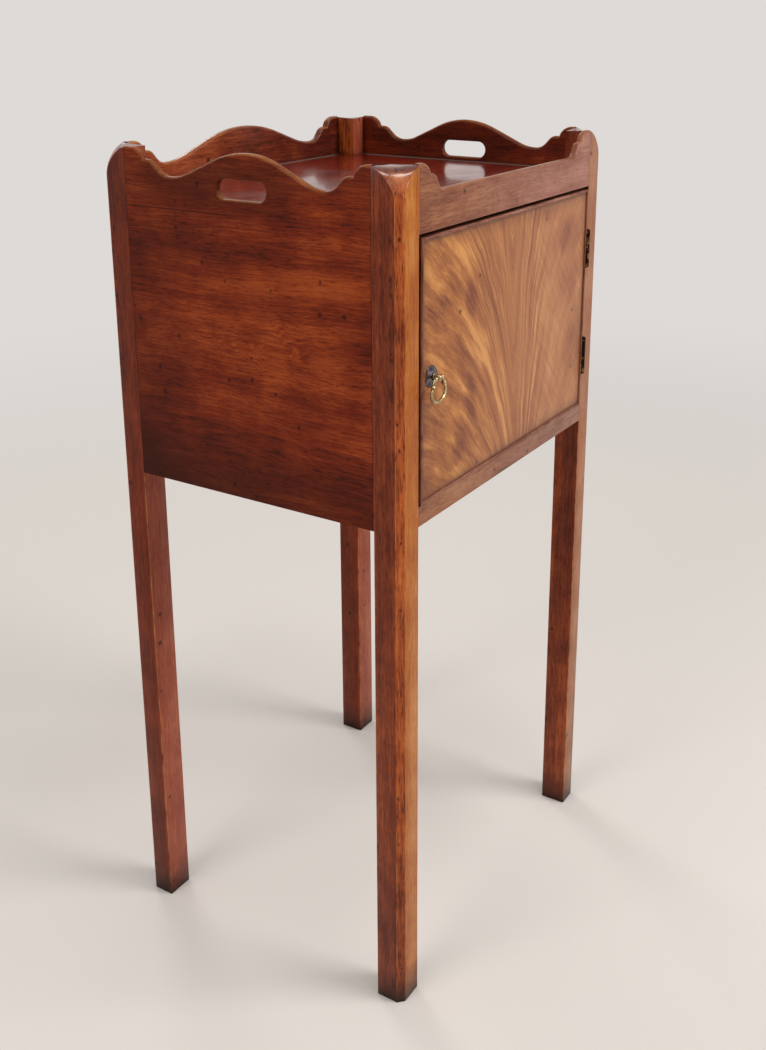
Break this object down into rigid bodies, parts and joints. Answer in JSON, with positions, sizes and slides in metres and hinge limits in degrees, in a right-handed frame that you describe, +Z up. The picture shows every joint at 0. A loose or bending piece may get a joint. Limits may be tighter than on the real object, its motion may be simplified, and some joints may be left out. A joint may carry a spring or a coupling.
{
  "type": "nightstand",
  "caption": "Tray-top bedside cupboard: shaped gallery with hand holes, square legs with scooped tops, and a flame-veneered door hung on butt hinges, with a ring handle that turns a latch.",
  "frame": {"origin": "on the floor, under the middle of the whole piece seen from above, handle included", "axes": "+X to the right as seen from the front, +Y to the back, away from the door, +Z up"},
  "size_m": [0.3866, 0.3266, 0.7873],
  "materials": {
    "solid_mahogany": "aged, waxed and polished, dark in the corners",
    "flame_mahogany_veneer": "polished flame figure, upright",
    "pale_secondary_wood": "planed and unfinished",
    "worn_brass": "worn, softly polished",
    "dark_brass": "old dark patina",
    "dull_iron": "dull, slightly rusted"
  },
  "bodies": {
    "carcase": {"post_front_left": "solid_mahogany", "post_front_right": "solid_mahogany", "post_rear_left": "solid_mahogany", "post_rear_right": "solid_mahogany", "side_panel_left": "solid_mahogany", "side_panel_right": "solid_mahogany", "rear_gallery_board": "solid_mahogany", "front_top_rail": "solid_mahogany", "front_bottom_rail": "solid_mahogany", "tray_board": "solid_mahogany", "back_panel": "pale_secondary_wood", "rear_bottom_rail": "pale_secondary_wood", "cupboard_floor": "pale_secondary_wood", "tray_bearer_left": "pale_secondary_wood", "tray_bearer_right": "pale_secondary_wood", "floor_bearer_left": "pale_secondary_wood", "floor_bearer_right": "pale_secondary_wood", "tray_glue_blocks": "pale_secondary_wood", "floor_glue_blocks": "pale_secondary_wood", "door_stop": "pale_secondary_wood", "hinge_upper_post_leaf": "dark_brass", "hinge_upper_pin": "dark_brass", "hinge_lower_post_leaf": "dark_brass", "hinge_lower_pin": "dark_brass", "hinge_screws_post": "dull_iron", "back_nails": "dull_iron"},
    "door": {"door_board": "solid_mahogany", "door_veneer": "flame_mahogany_veneer", "door_bead_top": "solid_mahogany", "door_bead_bottom": "solid_mahogany", "door_bead_left": "solid_mahogany", "door_bead_right": "solid_mahogany", "hinge_upper_door_leaf": "dark_brass", "hinge_lower_door_leaf": "dark_brass", "hinge_screws_door": "dull_iron", "handle_backplate": "dark_brass"},
    "catch": {"handle_spindle": "worn_brass", "latch_bar": "worn_brass", "spindle_nut": "worn_brass"},
    "ring": {"handle_ring": "worn_brass"}
  },
  "joints": [
    {"name": "door_swing", "type": "hinge", "parent": "carcase", "child": "door", "pos_m": [0.1645, -0.15418, 0.61], "axis": [0, 0, 1], "range_deg": [0, 170]},
    {"name": "catch_turn", "type": "hinge", "parent": "door", "child": "catch", "pos_m": [-0.1467, -0.16018, 0.608], "axis": [0, 1, 0], "range_deg": [0, 90]},
    {"name": "ring_swing", "type": "hinge", "parent": "catch", "child": "ring", "pos_m": [-0.1467, -0.16018, 0.608], "axis": [-1, 0, 0], "range_deg": [0, 150]}
  ]
}
